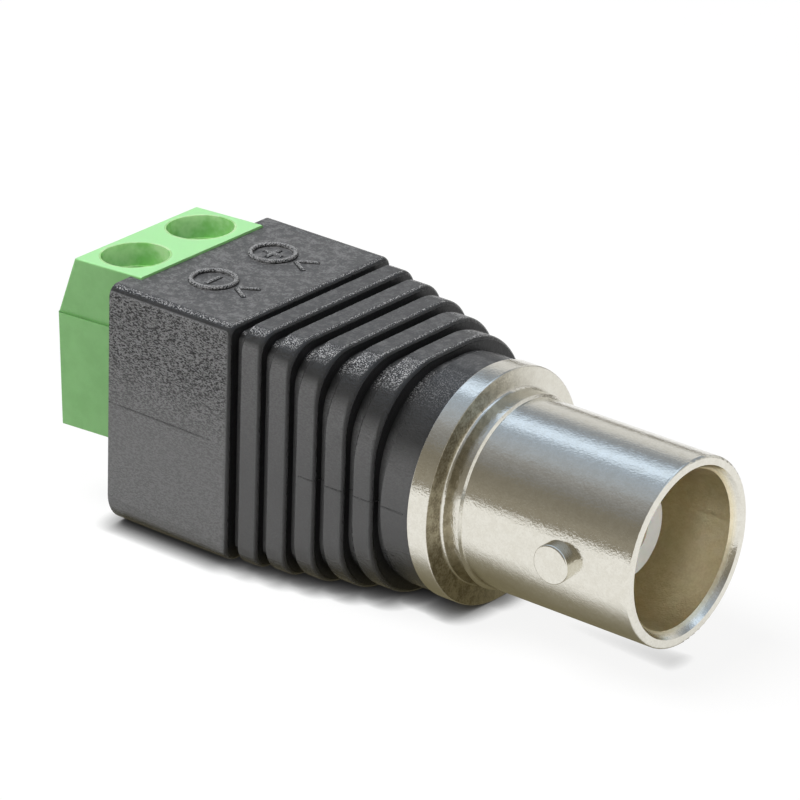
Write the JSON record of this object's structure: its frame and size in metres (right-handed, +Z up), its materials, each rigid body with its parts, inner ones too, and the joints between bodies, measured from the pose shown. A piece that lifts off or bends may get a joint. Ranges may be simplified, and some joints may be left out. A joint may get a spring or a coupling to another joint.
{
  "type": "bnc screw terminal adapter",
  "caption": "Adapter from a coaxial bayonet jack to a rising-clamp screw terminal, joined by a ribbed moulded housing.",
  "frame": {"origin": "centre of the jack's mouth, on its axis", "axes": "+X out of the jack's mouth, +Z up on the side of the terminal's screws, +Y to the plus pole's side"},
  "size_m": [0.0359, 0.0126, 0.0133],
  "materials": {
    "housing_plastic": "fine leathery grain, soft sheen",
    "terminal_plastic": "moulded satin green",
    "nickel_plate": "warm nickel plate over a slightly rough casting",
    "insulator_plastic": "white, waxy",
    "gold_plate": "gold plate",
    "screw_steel": "zinc plated",
    "tinned_brass": "dull tin plate"
  },
  "bodies": {
    "root": {"housing": "housing_plastic", "terminal_body": "terminal_plastic", "jack_shell": "nickel_plate", "dielectric": "insulator_plastic", "centre_contact": "gold_plate", "ground_tag": "tinned_brass", "signal_lead": "tinned_brass", "ground_lead": "tinned_brass", "bar_minus": "tinned_brass", "bar_plus": "tinned_brass"},
    "screw_minus": {"screw_minus": "screw_steel"},
    "clamp_minus": {"clamp_minus": "tinned_brass"},
    "screw_plus": {"screw_plus": "screw_steel"},
    "clamp_plus": {"clamp_plus": "tinned_brass"}
  },
  "joints": [
    {"name": "screw_minus_turn", "type": "hinge", "parent": "root", "child": "screw_minus", "pos_m": [-0.03259, -0.0025, 0.00419], "axis": [0.0502, 0, -0.9987], "range_deg": [0, 1296]},
    {"name": "clamp_minus_rise", "type": "slide", "parent": "root", "child": "clamp_minus", "axis": [-0.0502, 0, 0.9987], "range_m": [0, 0.00162]},
    {"name": "screw_plus_turn", "type": "hinge", "parent": "root", "child": "screw_plus", "pos_m": [-0.03259, 0.0025, 0.00419], "axis": [0.0502, 0, -0.9987], "range_deg": [0, 1296]},
    {"name": "clamp_plus_rise", "type": "slide", "parent": "root", "child": "clamp_plus", "axis": [-0.0502, 0, 0.9987], "range_m": [0, 0.00162]}
  ],
  "couplings": [
    {"joint": "screw_minus_turn", "follows": "clamp_minus_rise", "rad_per_m": 13963},
    {"joint": "screw_plus_turn", "follows": "clamp_plus_rise", "rad_per_m": 13963}
  ]
}
